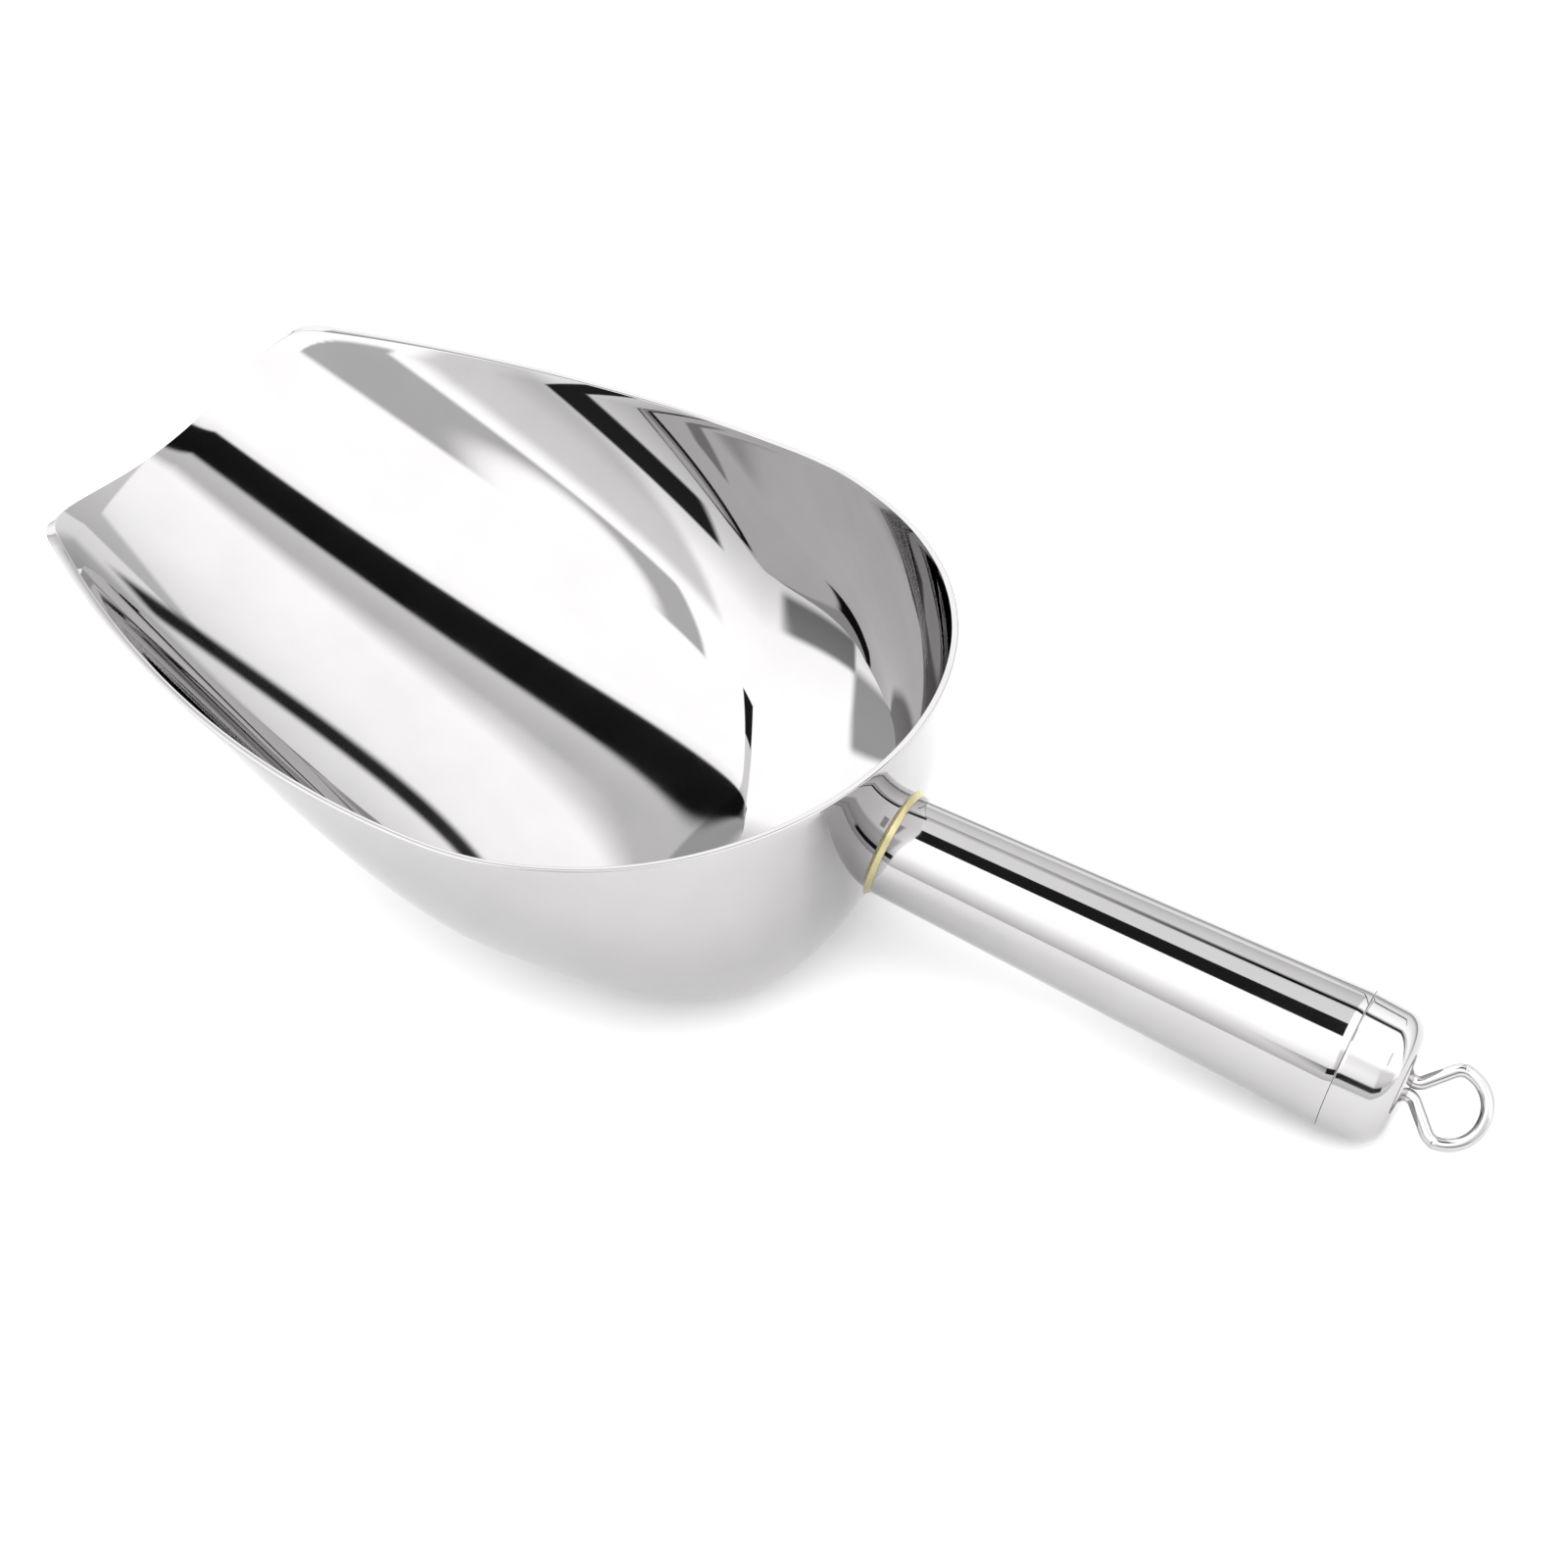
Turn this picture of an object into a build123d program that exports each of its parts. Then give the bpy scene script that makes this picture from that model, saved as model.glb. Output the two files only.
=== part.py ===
import math
import os

from build123d import *

os.makedirs("parts", exist_ok=True)

# Ice scoop: an open sheet bowl, a hollow tapered handle brazed to its back wall,
# a domed end cap and a wire hanging loop that turns in the cap's centre hole.
# Lengths are millimetres and angles are degrees. +X runs from the bowl along the
# handle, the scoop is symmetric in Y, and Z = 0 is the table it rests on. The
# origin is under the middle of the finished scoop.

# bowl: the sheet, and the smooth form it is drawn to
sheet = 1.2
rest_flat_depth = 0.5
form_height = 107.65
form_width = 133.0
form_back_reach = 36.83
widest_forward = 26.44
side_power = 2.87
back_power = 3.59
keel_round = 12.94
keel_slope = 0.594
front_plan_power = 2.21
back_plan_power_floor = 3.44
back_plan_power_rim = 1.75
plan_change_height = 60.0

# bowl: rim and lip, seen from the side
rim_low_height = 50.16
rim_low_x = 6.25
rim_radius = 512.3
lip_reach = 115.66
lip_reach_height = 55.0
lip_lean = 0.304
lip_corner_radius = 4.5

# handle
handle_length = 87.0
handle_fall = 8.0
tube_root_diameter = 18.6
tube_end_diameter = 24.4
tube_wall = 1.0
seam_to_turn = 3.8
braze_width = 1.5

# end cap, measured along the handle from its widest turn
cap_wall = 1.0
cap_crown = 7.3
cap_crown_fall = 1.2
cap_side_taper = 0.6
cap_shoulder_radius = 4.4
spigot_length = 6.0
spigot_clearance = 0.05

# hanging loop
wire_diameter = 2.4
loop_width = 15.0
loop_projection = 13.8
loop_spread_angle = 46.0
neck_bend_radius = 1.9
loop_side_radius = 3.0
leg_gap = 0.06
foot_reach = 5.2
foot_bend_radius = 1.5
foot_play = 0.5
neck_play = 0.3
bore_clearance = 0.05
loop_turn = 42.0

# construction: levels and points that carry the bowl's form
level_count = 14
level_top = 76.0
front_steps = 10
back_steps = 8
overrun = 30.0


def height_share(z):
    return max(1 - (z + rest_flat_depth) / form_height, 0)


def back_x(z):
    return form_back_reach * (1 - height_share(z) ** back_power) ** (1 / back_power)


def half_width(z):
    return form_width / 2 * (1 - height_share(z) ** side_power) ** (1 / side_power)


def keel_x(z):
    raised = z + rest_flat_depth + keel_round
    return -math.sqrt(raised**2 - keel_round**2) / keel_slope


def inset(reach, z, depth):
    # where the wall leans, a step across is longer than the depth at right angles
    step = 0.05
    slope = (reach(z + step) - reach(z - step)) / (2 * step)
    return depth * math.sqrt(1 + slope**2)


def rim_z(x):
    return rim_low_height + rim_radius - math.sqrt(rim_radius**2 - (x - rim_low_x) ** 2)


def lip_x(z):
    return -lip_reach - lip_lean * (z - lip_reach_height)


def level_points(z, depth):
    # half of one level's egg-shaped outline, from the keel round to the back, moved in by depth
    wide = half_width(z) - inset(half_width, z, depth)
    back = back_x(z) - inset(back_x, z, depth)
    front = keel_x(z) + inset(keel_x, z, depth)
    middle = -widest_forward * wide / (form_width / 2)
    rise = min(max(z / plan_change_height, 0), 1)
    back_plan_power = back_plan_power_floor + (back_plan_power_rim - back_plan_power_floor) * rise
    points = []
    for i in range(front_steps + back_steps + 1):
        if i < front_steps:
            turn = math.pi / 2 * i / front_steps
            power = front_plan_power
            reach = front - middle
        else:
            turn = math.pi / 2 * (1 - (i - front_steps) / back_steps)
            power = back_plan_power
            reach = back - middle
        along = math.cos(turn)
        across = math.sin(turn)
        size = (along**power + across**power) ** (-1 / power)
        points.append((middle + reach * size * along, wide * size * across, z))
    return points


def knot_steps():
    # one set of knots for every level, spaced as the points are at the rim
    points = [Vector(*point) for point in level_points(rim_low_height, 0)]
    lengths = [0.0]
    for start, end in zip(points, points[1:]):
        lengths.append(lengths[-1] + (end - start).length)
    return [length / lengths[-1] for length in lengths]


def level_outline(z, depth):
    far_points = level_points(z, depth)
    near_points = [(x, -y, level) for x, y, level in far_points]
    steps = knot_steps()
    far = Edge.make_spline(far_points, tangents=[(0, 1, 0), (0, -1, 0)], parameters=steps)
    near = Edge.make_spline(near_points, tangents=[(0, -1, 0), (0, 1, 0)], parameters=steps)
    return Face(Wire([far, near]))


def bowl_form(depth):
    # the drawn form as a full solid, its wall and floor moved in by depth
    low = max(depth, 0)
    high = level_top + depth
    levels = [low + (high - low) * (i / level_count) ** 2 for i in range(level_count + 1)]
    return loft([level_outline(z, depth) for z in levels])


def side_profile():
    # everything under the rim's arc and behind the lip line, seen from the side
    under_z = -overrun
    back = form_back_reach + overrun
    corner_z = rim_low_height
    for _ in range(20):
        corner_z = rim_z(lip_x(corner_z))
    corner = (lip_x(corner_z), 0, corner_z)
    middle_x = (corner[0] + back) / 2
    rim = ThreePointArc(corner, (middle_x, 0, rim_z(middle_x)), (back, 0, rim_z(back)))
    rear = Line((back, 0, rim_z(back)), (back, 0, under_z))
    under = Line((back, 0, under_z), (lip_x(under_z), 0, under_z))
    lip = Line((lip_x(under_z), 0, under_z), corner)
    side = Face(Wire([rim, rear, under, lip]))
    tip = side.vertices().sort_by_distance(corner)[0]
    return extrude(side.fillet_2d(lip_corner_radius, [tip]), form_width, dir=(0, 1, 0), both=True)


def turned(outline):
    # a solid turned about X from (distance along X, radius) corners
    return revolve(Face(Wire(Polyline(*[(x, 0, r) for x, r in outline], close=True))), Axis.X)


def tube_radius(x):
    # outer radius of the tube; X = 0 is the handle's widest turn, -X leads to the bowl
    taper = (tube_end_diameter - tube_root_diameter) / 2 / (handle_length - seam_to_turn)
    return tube_end_diameter / 2 + taper * (x + seam_to_turn)


def tapered_rod(inset_depth, growth=0.0):
    # from well inside the bowl to the cap's seam
    root = -handle_length - overrun
    seam = -seam_to_turn
    step = growth - inset_depth
    return turned([(root, 0), (seam, 0), (seam, tube_radius(seam) + step), (root, tube_radius(root) + step)])


def bore_radius():
    # the two legs of the loop side by side, with a running clearance
    return wire_diameter + leg_gap / 2 + bore_clearance


def end_cap():
    seam = -seam_to_turn
    skirt = seam - spigot_length
    side = tube_radius(seam)
    bore = bore_radius()
    edge = cap_crown - cap_crown_fall
    slip = tube_wall + spigot_clearance
    outline = [
        (seam, side),
        (edge, side - cap_side_taper),
        (cap_crown, bore),
        (cap_crown - cap_wall, bore),
        (edge - cap_wall, side - cap_side_taper - cap_wall),
        (skirt, tube_radius(skirt) - slip - cap_wall),
        (skirt, tube_radius(skirt) - slip),
        (seam, side - slip),
    ]
    section = Face(Wire(Polyline(*[(x, 0, r) for x, r in outline], close=True)))
    outer_corner = section.vertices().sort_by_distance((outline[1][0], 0, outline[1][1]))[0]
    section = section.fillet_2d(cap_shoulder_radius, [outer_corner])
    inner_corner = section.vertices().sort_by_distance((outline[4][0], 0, outline[4][1]))[0]
    section = section.fillet_2d(cap_shoulder_radius - cap_wall, [inner_corner])
    return revolve(section, Axis.X)


def hang_loop():
    # feet inside the cap, two legs side by side through its bore, then the ring
    leg = (wire_diameter + leg_gap) / 2
    foot_x = cap_crown - cap_wall - foot_play - wire_diameter / 2
    spread = math.radians(loop_spread_angle)
    neck_x = cap_crown + neck_play + neck_bend_radius * math.tan(spread / 2)
    side = (loop_width - wire_diameter) / 2
    shoulder_x = neck_x + (side - leg) / math.tan(spread)
    far_x = cap_crown + loop_projection - wire_diameter / 2
    half = [(foot_x, foot_reach), (foot_x, leg), (neck_x, leg), (shoulder_x, side), (far_x, side)]
    points = [(x, y, 0) for x, y in half]
    points += [(x, -y, 0) for x, y in reversed(half)]
    far_radius = side - 0.2
    bends = [foot_bend_radius, neck_bend_radius, loop_side_radius, far_radius]
    path = FilletPolyline(*points, radius=bends + bends[::-1])
    section = Plane(origin=path @ 0, z_dir=path % 0) * Circle(wire_diameter / 2)
    return sweep(section, path=path).rotate(Axis.X, loop_turn)


def placed(shape):
    # turn a handle piece down by the handle's fall, ready to be moved into place
    return shape.rotate(Axis.Y, handle_fall)


outer_form = bowl_form(0)
bowl = (outer_form & side_profile()) - bowl_form(sheet)

cap = placed(end_cap())
turn_z = -cap.bounding_box().min.Z
fall = math.radians(handle_fall)
root_z = turn_z + handle_length * math.sin(fall)
turn_x = back_x(root_z) + handle_length * math.cos(fall)
on_table = Pos(turn_x, 0, turn_z)

cap = on_table * cap
loop = on_table * placed(hang_loop())
full_rod = on_table * placed(tapered_rod(0))
tube = full_rod - on_table * placed(tapered_rod(tube_wall)) - outer_form
collar = on_table * placed(tapered_rod(0, braze_width))
collar = (collar & bowl_form(-braze_width)) - outer_form - full_rod

nodes = {"scoop_bowl": bowl, "handle_tube": tube, "braze_ring": collar, "end_cap": cap, "hang_loop": loop}
low_x = min(point.X for point in bowl.tessellate(0.02)[0])
high_x = loop.bounding_box().max.X
centre = Pos(-(low_x + high_x) / 2, 0, 0)
print("handle's widest turn at", round(turn_x - (low_x + high_x) / 2, 3), round(turn_z, 3))
print("overall length", round(high_x - low_x, 2))

for name, shape in nodes.items():
    solid = centre * shape
    print(name, len(solid.solids()), round(solid.volume, 1), solid.is_valid, solid.bounding_box())
    export_step(solid, f"parts/{name}.step")
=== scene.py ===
import math

import bmesh
import bpy
from mathutils import Matrix, Vector


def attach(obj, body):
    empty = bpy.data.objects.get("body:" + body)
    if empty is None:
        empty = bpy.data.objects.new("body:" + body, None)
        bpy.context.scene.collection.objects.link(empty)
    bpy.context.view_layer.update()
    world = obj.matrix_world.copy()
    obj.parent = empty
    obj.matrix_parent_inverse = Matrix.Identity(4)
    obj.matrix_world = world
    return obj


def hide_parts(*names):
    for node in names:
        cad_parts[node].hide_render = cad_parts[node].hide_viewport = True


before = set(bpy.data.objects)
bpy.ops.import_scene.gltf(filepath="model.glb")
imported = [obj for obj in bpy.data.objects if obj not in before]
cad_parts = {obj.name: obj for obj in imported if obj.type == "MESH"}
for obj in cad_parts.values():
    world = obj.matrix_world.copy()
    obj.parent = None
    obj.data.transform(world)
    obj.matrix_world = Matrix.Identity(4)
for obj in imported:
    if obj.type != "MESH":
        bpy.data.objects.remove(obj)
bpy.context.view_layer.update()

MM = 0.001

# the drawn form of the bowl, in millimetres from its lowest point
SHEET = 1.2
FLAT = 0.5
FORM_HEIGHT = 107.65
FORM_WIDTH = 133.0
BACK_REACH = 36.83
WIDEST_FORWARD = 26.44
SIDE_POWER = 2.87
BACK_POWER = 3.59
KEEL_ROUND = 12.94
KEEL_SLOPE = 0.594
FRONT_PLAN = 2.21
BACK_PLAN_FLOOR = 3.44
BACK_PLAN_RIM = 1.75
PLAN_CHANGE = 60.0
PLAN_BLEND = 0.14
LOW_FORM = 5.0
RIM_EDGE_ROUND = 0.2
RIM_EDGE_STEPS = 4
BOWL_HALF_COLUMNS = 150
BOWL_LEVELS = 70
BOWL_LEVEL_CROWDING = 2.4
RIM_LOW_Z = 50.16
RIM_LOW_X = 6.25
RIM_RADIUS = 512.3
LIP_REACH = 115.66
LIP_REACH_Z = 55.0
LIP_LEAN = 0.304
LIP_CORNER = 4.5

# the handle, its cap and its loop, in millimetres along the handle's own axis
HANDLE_LENGTH = 87.0
HANDLE_FALL = math.radians(8.0)
TUBE_ROOT = 9.3
TUBE_END = 12.2
TUBE_WALL = 1.0
SEAM = 3.8
CAP_WALL = 1.0
SPIGOT = 6.0
CROWN = 7.3
CROWN_FALL = 1.2
SIDE_TAPER = 0.6
SHOULDER = 4.4
WIRE = 1.2
LEG_GAP = 0.03
BORE = 2 * WIRE + LEG_GAP + 0.05
LOOP_SIDE = 7.5
LOOP_PROJECTION = 13.8
LOOP_SPREAD = math.radians(46.0)
LOOP_TURN = math.radians(42.0)
FOOT_REACH = 5.2
FOOT_BEND = 1.5
FOOT_PLAY = 0.5
NECK_BEND = 1.9
NECK_PLAY = 0.3
SIDE_BEND = 3.0
WIRE_COLUMNS = 40
WIRE_END_ROUND = ((0.0, 0.5), (0.0, 0.85), (0.1, 1.08))
HANDLE_COLUMNS = 192
TURN = Vector((107.03, 0.0, 12.063))
BOWL_X = TURN.x - 118.2


def height_share(z):
    return max(1 - (z + FLAT) / FORM_HEIGHT, 0.0)


def back_x(z):
    return BACK_REACH * (1 - height_share(z) ** BACK_POWER) ** (1 / BACK_POWER)


def half_width(z):
    return FORM_WIDTH / 2 * (1 - height_share(z) ** SIDE_POWER) ** (1 / SIDE_POWER)


def keel_x(z):
    raised = z + FLAT + KEEL_ROUND
    return -math.sqrt(raised**2 - KEEL_ROUND**2) / KEEL_SLOPE


def form_point(z, turn):
    # a point of the drawn form at height z; turn runs from the keel (0) by +Y to the back (pi)
    wide = half_width(z)
    middle = -WIDEST_FORWARD * wide / (FORM_WIDTH / 2)
    side = 1.0 if turn >= 0 else -1.0
    turn = abs(turn)
    rise = min(max(z / PLAN_CHANGE, 0.0), 1.0)
    back_power = BACK_PLAN_FLOOR + (BACK_PLAN_RIM - BACK_PLAN_FLOOR) * rise
    share = min(max((turn / math.pi - 0.5) / PLAN_BLEND, 0.0), 1.0)
    share = share * share * (3 - 2 * share)
    if turn <= math.pi / 2:
        power = FRONT_PLAN
        reach = keel_x(z) - middle
        along = math.cos(turn)
    else:
        power = FRONT_PLAN + (back_power - FRONT_PLAN) * share
        reach = back_x(z) - middle
        along = -math.cos(turn)
    across = math.sin(turn)
    size = (along**power + max(across, 1e-9) ** power) ** (-1 / power)
    return Vector((BOWL_X + middle + reach * size * along, side * wide * size * across, z))


def rim_z(x):
    return RIM_LOW_Z + RIM_RADIUS - math.sqrt(RIM_RADIUS**2 - (x - BOWL_X - RIM_LOW_X) ** 2)


def lip_x(z):
    return BOWL_X - LIP_REACH - LIP_LEAN * (z - LIP_REACH_Z)


def lip_corner():
    # the rounded corner between the rim and the lip, in side view
    z = RIM_LOW_Z
    for _ in range(20):
        z = rim_z(lip_x(z))
    corner = Vector((lip_x(z), z))
    slope = (rim_z(corner.x + 0.1) - rim_z(corner.x)) / 0.1
    along_rim = Vector((1.0, slope)).normalized()
    down_lip = Vector((LIP_LEAN, -1.0)).normalized()
    half = along_rim.angle(down_lip) / 2
    centre = corner + (along_rim + down_lip).normalized() * (LIP_CORNER / math.sin(half))
    return corner, along_rim, down_lip, centre, LIP_CORNER / math.tan(half)


CORNER, ALONG_RIM, DOWN_LIP, CORNER_CENTRE, CORNER_TANGENT = lip_corner()


def under_edge(point):
    # is a point of the drawn form inside the trimmed bowl, seen from the side
    place = Vector((point.x, point.z))
    step = place - CORNER
    if step.dot(ALONG_RIM) < CORNER_TANGENT and step.dot(DOWN_LIP) < CORNER_TANGENT:
        return (place - CORNER_CENTRE).length <= LIP_CORNER
    return point.z < rim_z(point.x) and point.x > lip_x(point.z)


def form_normal(z, turn):
    # outward normal of the drawn form
    low = max(z - 0.05, -FLAT + 1e-4)
    up = form_point(low + 0.1, turn) - form_point(low, turn)
    sweep = math.copysign(max(abs(turn), 1e-3), turn if turn else 1.0)
    if abs(sweep) > math.pi - 1e-3:
        sweep = math.copysign(math.pi - 1e-3, sweep)
    round_ = form_point(z, sweep + 5e-4) - form_point(z, sweep - 5e-4)
    normal = up.cross(round_)
    normal.normalize()
    if abs(turn) < 1e-6 or abs(abs(turn) - math.pi) < 1e-6:
        normal.y = 0.0
        normal.normalize()
    if z < LOW_FORM and normal.z > 0:
        # the outline folds over itself in the last half millimetre above the form's lowest point
        normal.negate()
    return normal


def wall_point(z, turn, depth):
    point = form_point(z, turn)
    if depth:
        point = point - form_normal(z, turn) * depth
    return point


def edge_height(turn, depth):
    low, high = 20.0, 80.0
    for _ in range(40):
        z = (low + high) / 2
        if under_edge(wall_point(z, turn, depth)):
            low = z
        else:
            high = z
    return low


def mesh_object(name, points, faces, material):
    mesh = bpy.data.meshes.new(name)
    mesh.from_pydata([Vector(p) * MM for p in points], [], faces)
    mesh.validate()
    edit = bmesh.new()
    edit.from_mesh(mesh)
    bmesh.ops.recalc_face_normals(edit, faces=edit.faces)
    edit.to_mesh(mesh)
    edit.free()
    mesh.polygons.foreach_set("use_smooth", [True] * len(mesh.polygons))
    mesh.materials.append(material)
    obj = bpy.data.objects.new(name, mesh)
    bpy.context.scene.collection.objects.link(obj)
    return obj


def grid_faces(rows, around):
    faces = []
    for i in range(rows - 1):
        for j in range(around):
            a = i * around + j
            b = i * around + (j + 1) % around
            faces.append((a, b, b + around, a + around))
    return faces


def arc_corner(edge, down, inward, radius, steps):
    # points that round an edge between a wall and the rim's land
    found = []
    for k in range(steps + 1):
        angle = math.pi / 2 * k / steps
        drop = down * (radius * (1 - math.sin(angle)))
        step_in = inward * (radius * (1 - math.cos(angle)))
        found.append(edge + drop + step_in)
    return found


def bowl_column(turn):
    # one strip of the bowl: up the outside, over the rim and down the inside
    bottom = -FLAT + 0.004
    shares = [(k / BOWL_LEVELS) ** BOWL_LEVEL_CROWDING for k in range(BOWL_LEVELS)]
    outer_top = edge_height(turn, 0.0)
    inner_top = edge_height(turn, SHEET)
    outer = [form_point(share * (outer_top - RIM_EDGE_ROUND), turn) for share in shares]
    outer_edge = form_point(outer_top, turn)
    inner_edge = wall_point(inner_top, turn, SHEET)
    inward = (inner_edge - outer_edge).normalized()
    down_outer = (form_point(outer_top - 0.5, turn) - outer_edge).normalized()
    down_inner = (wall_point(inner_top - 0.5, turn, SHEET) - inner_edge).normalized()
    outer += arc_corner(outer_edge, down_outer, inward, RIM_EDGE_ROUND, RIM_EDGE_STEPS)
    inner = arc_corner(inner_edge, down_inner, -inward, RIM_EDGE_ROUND, RIM_EDGE_STEPS)[::-1]
    for share in reversed(shares):
        z = bottom + share * (inner_top - RIM_EDGE_ROUND - bottom)
        inner.append(wall_point(z, turn, SHEET))
    return outer + inner


def bowl_mesh(material):
    half = BOWL_HALF_COLUMNS
    turns = [math.pi * i / half for i in range(half)]
    turns += [-math.pi * (1 - i / half) for i in range(half)]
    around = len(turns)
    columns = [bowl_column(turn) for turn in turns]
    rows = len(columns[0])
    points = [columns[j][i] for i in range(rows) for j in range(around)]
    faces = grid_faces(rows, around)
    under = len(points)
    points.append(Vector((BOWL_X, 0.0, 0.0)))
    inside = len(points)
    points.append(Vector((BOWL_X, 0.0, SHEET - FLAT)))
    last = (rows - 1) * around
    for j in range(around):
        faces.append((under, (j + 1) % around, j))
        faces.append((inside, last + j, last + (j + 1) % around))
    return mesh_object("bowl_shell", points, faces, material)


AXIS = Vector((math.cos(HANDLE_FALL), 0.0, -math.sin(HANDLE_FALL)))
UP = Vector((math.sin(HANDLE_FALL), 0.0, math.cos(HANDLE_FALL)))
ACROSS = Vector((0.0, 1.0, 0.0))


def handle_point(s, radius, angle):
    return TURN + AXIS * s + (ACROSS * math.cos(angle) + UP * math.sin(angle)) * radius


def tube_radius(s):
    taper = (TUBE_END - TUBE_ROOT) / (HANDLE_LENGTH - SEAM)
    return TUBE_END + taper * (s + SEAM)


def closed_faces(rows, around):
    # the faces of rings of points whose last ring joins the first
    last = (rows - 1) * around
    joining = [(last + j, last + (j + 1) % around, (j + 1) % around, j) for j in range(around)]
    return grid_faces(rows, around) + joining


def turned_mesh(name, profile, material):
    around = HANDLE_COLUMNS
    points = [handle_point(s, r, 2 * math.pi * j / around) for s, r in profile for j in range(around)]
    return mesh_object(name, points, closed_faces(len(profile), around), material)


def inside_form(point):
    # is a point inside the drawn form of the bowl
    z = point.z
    wide = half_width(z)
    if abs(point.y) >= wide:
        return False
    middle = BOWL_X - WIDEST_FORWARD * wide / (FORM_WIDTH / 2)
    rise = min(max(z / PLAN_CHANGE, 0.0), 1.0)
    power = BACK_PLAN_FLOOR + (BACK_PLAN_RIM - BACK_PLAN_FLOOR) * rise
    reach = BOWL_X + back_x(z) - middle
    return ((point.x - middle) / reach) ** power + (abs(point.y) / wide) ** power < 1


def root_reach(angle, extra):
    # how far along the handle's axis the bowl's back wall is, at this side of the tube
    low, high = -HANDLE_LENGTH - 15.0, -HANDLE_LENGTH + 15.0
    for _ in range(36):
        s = (low + high) / 2
        if inside_form(handle_point(s, tube_radius(s) + extra, angle)):
            low = s
        else:
            high = s
    return low


def tube_mesh(material):
    around = HANDLE_COLUMNS
    rows = 60
    wall = TUBE_WALL
    seam_gap = 0.12
    points = []
    for i in range(rows + 1):
        for j in range(around):
            angle = 2 * math.pi * j / around
            root = root_reach(angle, 0.0) - 0.4
            end = -SEAM - seam_gap
            s = root + (end - root) * i / rows
            points.append(handle_point(s, tube_radius(s), angle))
    for shift, drop in ((0.04, 0.015), (0.09, 0.06), (0.12, 0.16), (0.12, wall)):
        for j in range(around):
            s = -SEAM - seam_gap + shift
            points.append(handle_point(s, tube_radius(s) - drop, 2 * math.pi * j / around))
    for i in range(rows + 1):
        for j in range(around):
            angle = 2 * math.pi * j / around
            root = root_reach(angle, -wall) + 0.1
            s = -SEAM + (root + SEAM) * i / rows
            points.append(handle_point(s, tube_radius(s) - wall, angle))
    total = 2 * (rows + 1) + 4
    return mesh_object("handle_shell", points, closed_faces(total, around), material)


def wobble(angle, seed):
    # a slow hand-made unevenness round the handle
    return (
        math.sin(2 * angle + seed)
        + 0.6 * math.sin(5 * angle + 1.7 * seed)
        + 0.4 * math.sin(11 * angle + 2.9 * seed)
    ) / 2


def braze_mesh(material):
    around = HANDLE_COLUMNS
    steps = 8
    points = []
    for k in range(steps + 1):
        for j in range(around):
            angle = 2 * math.pi * j / around
            bead = 0.85 + 0.1 * wobble(angle, 0.8)
            rise = 0.85 + 0.12 * wobble(angle, 2.1)
            turn = math.pi / 2 * k / steps
            mix = 0.45
            out = bead * (mix * (1 - math.sin(turn)) + (1 - mix) * (1 - k / steps) + 0.1 * math.sin(2 * turn))
            along = rise * (mix * (1 - math.cos(turn)) + (1 - mix) * k / steps + 0.1 * math.sin(2 * turn))
            s = root_reach(angle, out) + along
            points.append(handle_point(s, tube_radius(s) + out, angle))
    for inset, deep in ((-0.25, 0.9), (-0.25, -0.35)):
        for j in range(around):
            angle = 2 * math.pi * j / around
            s = root_reach(angle, inset) + deep
            points.append(handle_point(s, tube_radius(s) + inset, angle))
    for j in range(around):
        angle = 2 * math.pi * j / around
        s = root_reach(angle, 1.0) - 0.35
        points.append(handle_point(s, tube_radius(s) + 1.0, angle))
    return mesh_object("braze_bead", points, closed_faces(steps + 4, around), material)


def rounded(corners, radii, step=0.12):
    # a chain of corners, each rounded by an arc, as a list of points
    found = [Vector(corners[0])]
    for i in range(1, len(corners) - 1):
        here = Vector(corners[i])
        back = (Vector(corners[i - 1]) - here).normalized()
        ahead = (Vector(corners[i + 1]) - here).normalized()
        half = back.angle(ahead) / 2
        reach = radii[i - 1] / math.tan(half)
        centre = here + (back + ahead).normalized() * (radii[i - 1] / math.sin(half))
        start = here + back * reach - centre
        end = here + ahead * reach - centre
        sweep = start.angle(end)
        pieces = max(4, int(radii[i - 1] * sweep / step))
        for k in range(pieces + 1):
            share = k / pieces
            spin = math.sin(sweep)
            arm = start * (math.sin((1 - share) * sweep) / spin) + end * (math.sin(share * sweep) / spin)
            found.append(centre + arm)
    found.append(Vector(corners[-1]))
    return found


def cap_mesh(material):
    side = tube_radius(-SEAM)
    edge = CROWN - CROWN_FALL
    skirt = -SEAM - SPIGOT
    corners = [
        (-SEAM + 0.02, side - 0.9, 0.0),
        (-SEAM + 0.02, side, 0.0),
        (edge, side - SIDE_TAPER, 0.0),
        (CROWN, BORE, 0.0),
        (CROWN - CAP_WALL, BORE, 0.0),
        (edge - CAP_WALL, side - SIDE_TAPER - CAP_WALL, 0.0),
        (skirt, tube_radius(skirt) - 2.05, 0.0),
        (skirt, tube_radius(skirt) - 1.06, 0.0),
        (-SEAM - 0.1, side - 1.08, 0.0),
    ]
    outline = rounded(corners, [0.14, SHOULDER, 0.3, 0.2, SHOULDER - CAP_WALL, 0.2, 0.2])
    profile = []
    for here, ahead in zip(outline, outline[1:]):
        pieces = max(1, int((ahead - here).length / 0.5))
        for k in range(pieces):
            spot = here.lerp(ahead, k / pieces)
            profile.append((spot.x, spot.y))
    profile.append((outline[-1].x, outline[-1].y))
    return turned_mesh("cap_shell", profile, material)


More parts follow.
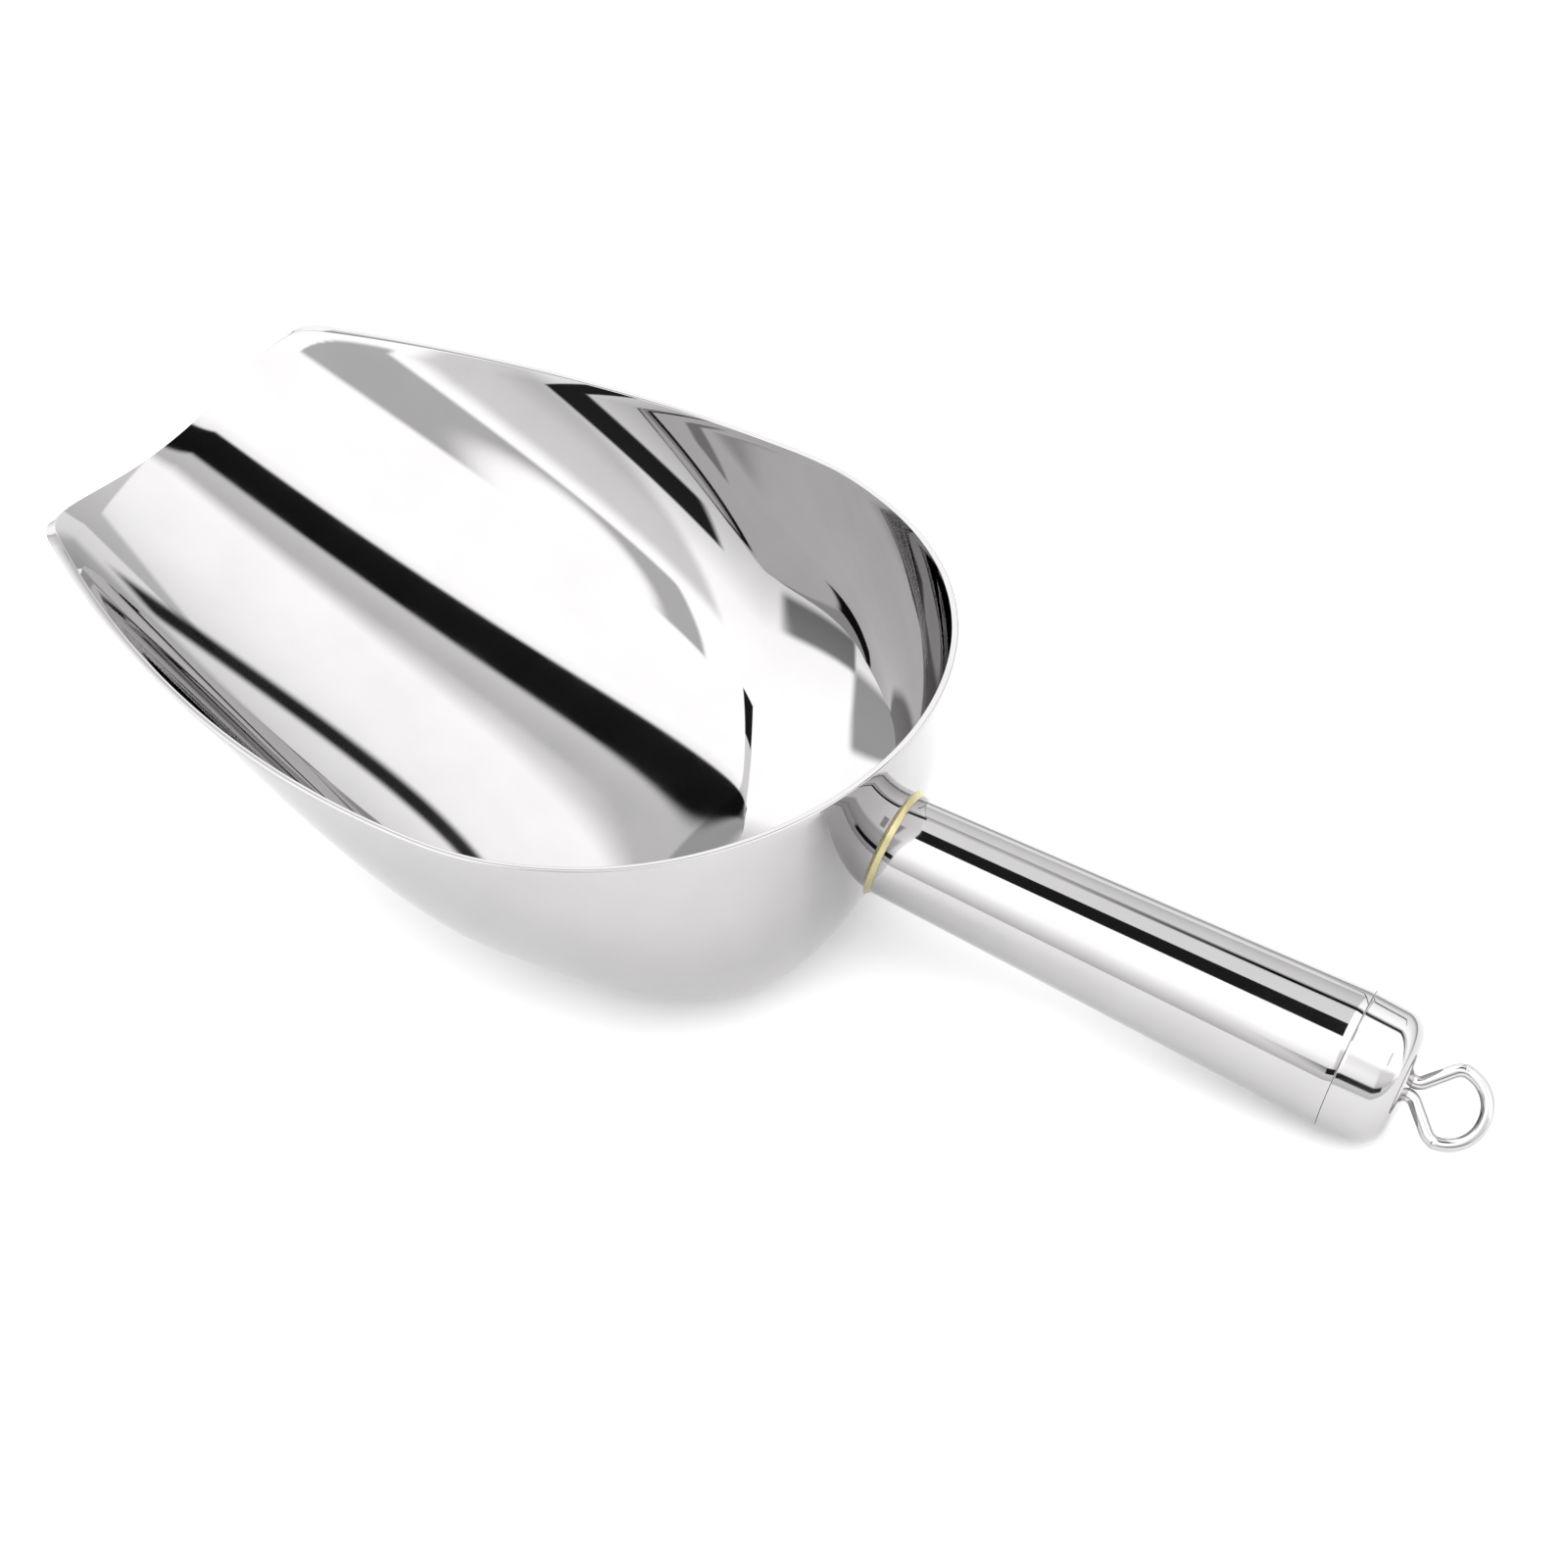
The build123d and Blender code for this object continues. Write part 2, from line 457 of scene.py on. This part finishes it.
def loop_path():
    # the wire's centre line: a foot, a leg, the round eye, and back to the other foot
    leg = WIRE + LEG_GAP
    foot_x = CROWN - CAP_WALL - FOOT_PLAY - WIRE
    neck_x = CROWN + NECK_PLAY + NECK_BEND * math.tan(LOOP_SPREAD / 2)
    side = LOOP_SIDE - WIRE
    shoulder_x = neck_x + (side - leg) / math.tan(LOOP_SPREAD)
    far_x = CROWN + LOOP_PROJECTION - WIRE
    half = [(foot_x, FOOT_REACH), (foot_x, leg), (neck_x, leg), (shoulder_x, side), (far_x, side)]
    corners = [(x, y, 0.0) for x, y in half] + [(x, -y, 0.0) for x, y in reversed(half)]
    bends = [FOOT_BEND, NECK_BEND, SIDE_BEND, side - 0.2]
    path = rounded(corners, bends + bends[::-1], 0.16)
    line = [path[0]]
    for spot in path[1:]:
        if (spot - line[-1]).length > 0.02:
            line.append(spot)
    return line


def wire_ring(centre, tangent, radius):
    # one ring of points round the wire
    wide = ACROSS * math.cos(LOOP_TURN) + UP * math.sin(LOOP_TURN)
    plane_up = AXIS.cross(wide)
    across = tangent.cross(Vector((0.0, 0.0, 1.0)))
    spot = TURN + AXIS * centre.x + wide * centre.y
    flat = AXIS * across.x + wide * across.y
    points = []
    for j in range(WIRE_COLUMNS):
        angle = 2 * math.pi * j / WIRE_COLUMNS
        points.append(spot + flat * (radius * math.cos(angle)) + plane_up * (radius * math.sin(angle)))
    return points


def wire_end(spot, tangent):
    # the rings that round a cut end; tangent leads into the wire
    rings = [(spot + tangent * back, radius) for back, radius in WIRE_END_ROUND]
    return rings + [(spot + tangent * 0.35, WIRE)]


def loop_mesh(material):
    line = loop_path()
    points = []
    for i, spot in enumerate(line):
        before = line[max(i - 1, 0)]
        after = line[min(i + 1, len(line) - 1)]
        tangent = (after - before).normalized()
        if i == 0:
            rings = wire_end(spot, tangent)
        elif i == len(line) - 1:
            rings = wire_end(spot, -tangent)[::-1]
        else:
            rings = [(spot, WIRE)]
        for centre, radius in rings:
            points += wire_ring(centre, tangent, radius)
    around = WIRE_COLUMNS
    rows = len(points) // around
    faces = grid_faces(rows, around)
    faces.append(tuple(range(around - 1, -1, -1)))
    last = (rows - 1) * around
    faces.append(tuple(range(last, last + around)))
    return mesh_object("hanging_wire", points, faces, material)


def metal(name, tint, rough, spread, grain=0.0, scale=90.0):
    # polished metal: small changes of tint and roughness, and the finest polishing marks
    material = bpy.data.materials.new(name)
    material.use_nodes = True
    nodes = material.node_tree.nodes
    links = material.node_tree.links
    shader = nodes["Principled BSDF"]
    shader.inputs["Metallic"].default_value = 1.0
    place = nodes.new("ShaderNodeTexCoord")
    cloud = nodes.new("ShaderNodeTexNoise")
    cloud.inputs["Scale"].default_value = scale
    cloud.inputs["Detail"].default_value = 5.0
    links.new(place.outputs["Object"], cloud.inputs["Vector"])
    colour = nodes.new("ShaderNodeMapRange")
    tone = nodes.new("ShaderNodeMix")
    tone.data_type = "RGBA"
    tone.inputs[6].default_value = (tint[0] * 0.97, tint[1] * 0.97, tint[2] * 0.97, 1.0)
    tone.inputs[7].default_value = (tint[0] * 1.02, tint[1] * 1.02, tint[2] * 1.02, 1.0)
    links.new(cloud.outputs["Fac"], colour.inputs["Value"])
    colour.inputs["From Min"].default_value = 0.3
    colour.inputs["From Max"].default_value = 0.7
    links.new(colour.outputs["Result"], tone.inputs[0])
    links.new(tone.outputs[2], shader.inputs["Base Color"])
    sheen = nodes.new("ShaderNodeMapRange")
    sheen.inputs["From Min"].default_value = 0.3
    sheen.inputs["From Max"].default_value = 0.7
    sheen.inputs["To Min"].default_value = rough
    sheen.inputs["To Max"].default_value = rough + spread
    links.new(cloud.outputs["Fac"], sheen.inputs["Value"])
    links.new(sheen.outputs["Result"], shader.inputs["Roughness"])
    if grain:
        marks = nodes.new("ShaderNodeTexNoise")
        marks.inputs["Scale"].default_value = 700.0
        marks.inputs["Detail"].default_value = 3.0
        links.new(place.outputs["Object"], marks.inputs["Vector"])
        bump = nodes.new("ShaderNodeBump")
        bump.inputs["Strength"].default_value = grain
        bump.inputs["Distance"].default_value = 0.0002
        links.new(marks.outputs["Fac"], bump.inputs["Height"])
        links.new(bump.outputs["Normal"], shader.inputs["Normal"])
    return material


steel_bowl = metal("bowl_polish", (0.37, 0.363, 0.367), 0.02, 0.02)
steel_tube = metal("handle_polish", (0.385, 0.378, 0.381), 0.03, 0.03)
steel_cap = metal("cap_polish", (0.39, 0.383, 0.386), 0.05, 0.05)
steel_wire = metal("wire_polish", (0.40, 0.393, 0.396), 0.05, 0.05)
braze_metal = metal("braze_metal", (0.40, 0.355, 0.20), 0.22, 0.15, grain=0.4, scale=260.0)

bowl = bowl_mesh(steel_bowl)
tube = tube_mesh(steel_tube)
bead = braze_mesh(braze_metal)
cap = cap_mesh(steel_cap)
wire = loop_mesh(steel_wire)

for piece, node, body, slot in (
    (bowl, "scoop_bowl", "scoop", "bowl_steel"),
    (tube, "handle_tube", "scoop", "handle_steel"),
    (bead, "braze_ring", "scoop", "braze"),
    (cap, "end_cap", "scoop", "cap_steel"),
    (wire, "hang_loop", "loop", "wire_steel"),
):
    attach(piece, body)
    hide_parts(node)


FLOOR = 20.0
FLOOR_PAPER = 0.9
FLOOR_GLOW = 0.1


def floor_material():
    # white paper, lit a little from below
    material = bpy.data.materials.new("floor_paper")
    material.use_nodes = True
    shader = material.node_tree.nodes["Principled BSDF"]
    shader.inputs["Base Color"].default_value = (FLOOR_PAPER, FLOOR_PAPER, FLOOR_PAPER, 1.0)
    shader.inputs["Roughness"].default_value = 0.9
    shader.inputs["Specular IOR Level"].default_value = 0.0
    shader.inputs["Emission Color"].default_value = (1.0, 1.0, 1.0, 1.0)
    shader.inputs["Emission Strength"].default_value = FLOOR_GLOW
    return material


def lay_floor():
    corners = [(-FLOOR, -FLOOR, 0), (FLOOR, -FLOOR, 0), (FLOOR, FLOOR, 0), (-FLOOR, FLOOR, 0)]
    mesh = bpy.data.meshes.new("floor")
    mesh.from_pydata([Vector(corner) for corner in corners], [], [(0, 1, 2, 3)])
    mesh.materials.append(floor_material())
    obj = bpy.data.objects.new("floor", mesh)
    bpy.context.scene.collection.objects.link(obj)


lay_floor()


# the studio: soft white panels all round, with the dark gaps that polished steel shows as stripes.
# Angles run in degrees from the far side (0) over the top (90) to the near side (180), and sides
# from -1 (left) to 1 (right).
BRIGHTEST = 2.8
PANEL_LEVELS = [
    (0.0, 0.7),
    (8.0, 1.0),
    (12.0, 1.7),
    (24.0, 2.0),
    (36.0, 2.4),
    (48.0, 2.6),
    (50.0, 1.2),
    (60.5, 2.75),
    (120.0, 2.8),
    (146.0, 2.6),
    (158.0, 2.0),
    (180.0, 1.1),
]
BEND = 0.075
SLANT = 0.42

# dark cards: the two sides, the softness there, the two angles, the softness there, how dark, which angle
DARK_CARDS = [
    (-0.03, 0.9, 0.1, 51.8, 56.6, 0.8, 0.99, "bent"),
    (-0.04, 0.22, 0.04, 16.0, 17.2, 1.3, 0.98, "slanted"),
    (-0.2, 0.035, 0.02, 85.0, 106.0, 1.2, 0.99, "level"),
    (-0.25, 0.035, 0.02, 20.0, 85.0, 1.2, 0.38, "level"),
    (0.22, 0.9, 0.1, 132.0, 158.0, 10.0, 0.38, "level"),
    (-0.06, 0.6, 0.05, 160.5, 168.5, 1.5, 0.98, "level"),
    (-0.56, -0.44, 0.03, 150.0, 160.0, 4.0, 0.8, "level"),
    (0.375, 0.43, 0.02, 96.0, 118.0, 3.0, 0.6, "level"),
    (-1.1, -0.6, 0.06, 112.0, 146.0, 8.0, 0.7, "level"),
]


def math_node(tree, kind, first, second):
    node = tree.nodes.new("ShaderNodeMath")
    node.operation = kind
    for socket, value in zip(node.inputs, (first, second)):
        if isinstance(value, (int, float)):
            socket.default_value = value
        else:
            tree.links.new(value, socket)
    return node.outputs[0]


def step_node(tree, value, start, end, before, after):
    # goes smoothly from one level to another between start and end
    node = tree.nodes.new("ShaderNodeMapRange")
    node.interpolation_type = "SMOOTHSTEP"
    node.inputs["From Min"].default_value = start
    node.inputs["From Max"].default_value = end
    node.inputs["To Min"].default_value = before
    node.inputs["To Max"].default_value = after
    tree.links.new(value, node.inputs["Value"])
    return node.outputs[0]


def band(tree, value, low, high, soft):
    # 1 between low and high, falling to 0 over soft on each side
    rise = step_node(tree, value, low - soft, low, 0.0, 1.0)
    fall = step_node(tree, value, high, high + soft, 1.0, 0.0)
    return math_node(tree, "MULTIPLY", rise, fall)


def panel_ramp(tree, angle):
    ramp = tree.nodes.new("ShaderNodeValToRGB")
    tree.links.new(angle, ramp.inputs["Fac"])
    elements = ramp.color_ramp.elements
    elements.remove(elements[1])
    elements[0].position = PANEL_LEVELS[0][0] / 180
    for degrees, _ in PANEL_LEVELS[1:]:
        elements.new(degrees / 180)
    for element, (_, level) in zip(elements, PANEL_LEVELS):
        element.color = (level / BRIGHTEST,) * 3 + (1.0,)
    return ramp.outputs["Color"]


def card_shade(tree, side, angles, card):
    side_low, side_high, side_soft, low, high, soft, amount, which = card
    wide = band(tree, side, side_low, side_high, side_soft)
    tall = band(tree, angles[which], low / 180, high / 180, soft / 180)
    covered = math_node(tree, "MULTIPLY", wide, tall)
    return math_node(tree, "SUBTRACT", 1.0, math_node(tree, "MULTIPLY", covered, amount))


def studio_light():
    world = bpy.data.worlds.new("studio")
    bpy.context.scene.world = world
    world.use_nodes = True
    tree = world.node_tree
    place = tree.nodes.new("ShaderNodeTexCoord")
    split = tree.nodes.new("ShaderNodeSeparateXYZ")
    tree.links.new(place.outputs["Generated"], split.inputs[0])
    side = split.outputs["X"]
    turn = math_node(tree, "ARCTAN2", split.outputs["Z"], split.outputs["Y"])
    angle = math_node(tree, "DIVIDE", turn, math.pi)
    squared = math_node(tree, "MULTIPLY", side, side)
    angles = {
        "level": angle,
        "bent": math_node(tree, "SUBTRACT", angle, math_node(tree, "MULTIPLY", squared, BEND)),
        "slanted": math_node(tree, "SUBTRACT", angle, math_node(tree, "MULTIPLY", side, SLANT)),
    }
    light = panel_ramp(tree, angle)
    for card in DARK_CARDS:
        scaled = tree.nodes.new("ShaderNodeVectorMath")
        scaled.operation = "SCALE"
        tree.links.new(light, scaled.inputs[0])
        tree.links.new(card_shade(tree, side, angles, card), scaled.inputs["Scale"])
        light = scaled.outputs[0]
    background = tree.nodes["Background"]
    background.inputs["Strength"].default_value = BRIGHTEST
    tree.links.new(light, background.inputs["Color"])


studio_light()

AZIMUTH = math.radians(28.32)
ELEVATION = math.radians(39.74)
EYE = Vector((174.6, -325.17, 349.6))


def set_camera():
    # the picture's own view, with its perspective
    right = Vector((math.cos(AZIMUTH), math.sin(AZIMUTH), 0.0))
    level = math.cos(ELEVATION)
    back = Vector((math.sin(AZIMUTH) * level, -math.cos(AZIMUTH) * level, math.sin(ELEVATION)))
    up = back.cross(right)
    data = bpy.data.cameras.new("camera")
    data.sensor_width = 36.0
    data.lens = 65.214
    data.shift_y = -0.039375
    data.clip_start = 0.02
    camera = bpy.data.objects.new("camera", data)
    turned = Matrix((right, up, back)).transposed()
    camera.matrix_world = Matrix.Translation(EYE * MM) @ turned.to_4x4()
    bpy.context.scene.collection.objects.link(camera)
    bpy.context.scene.camera = camera


set_camera()
bpy.context.scene.view_settings.view_transform = "Standard"
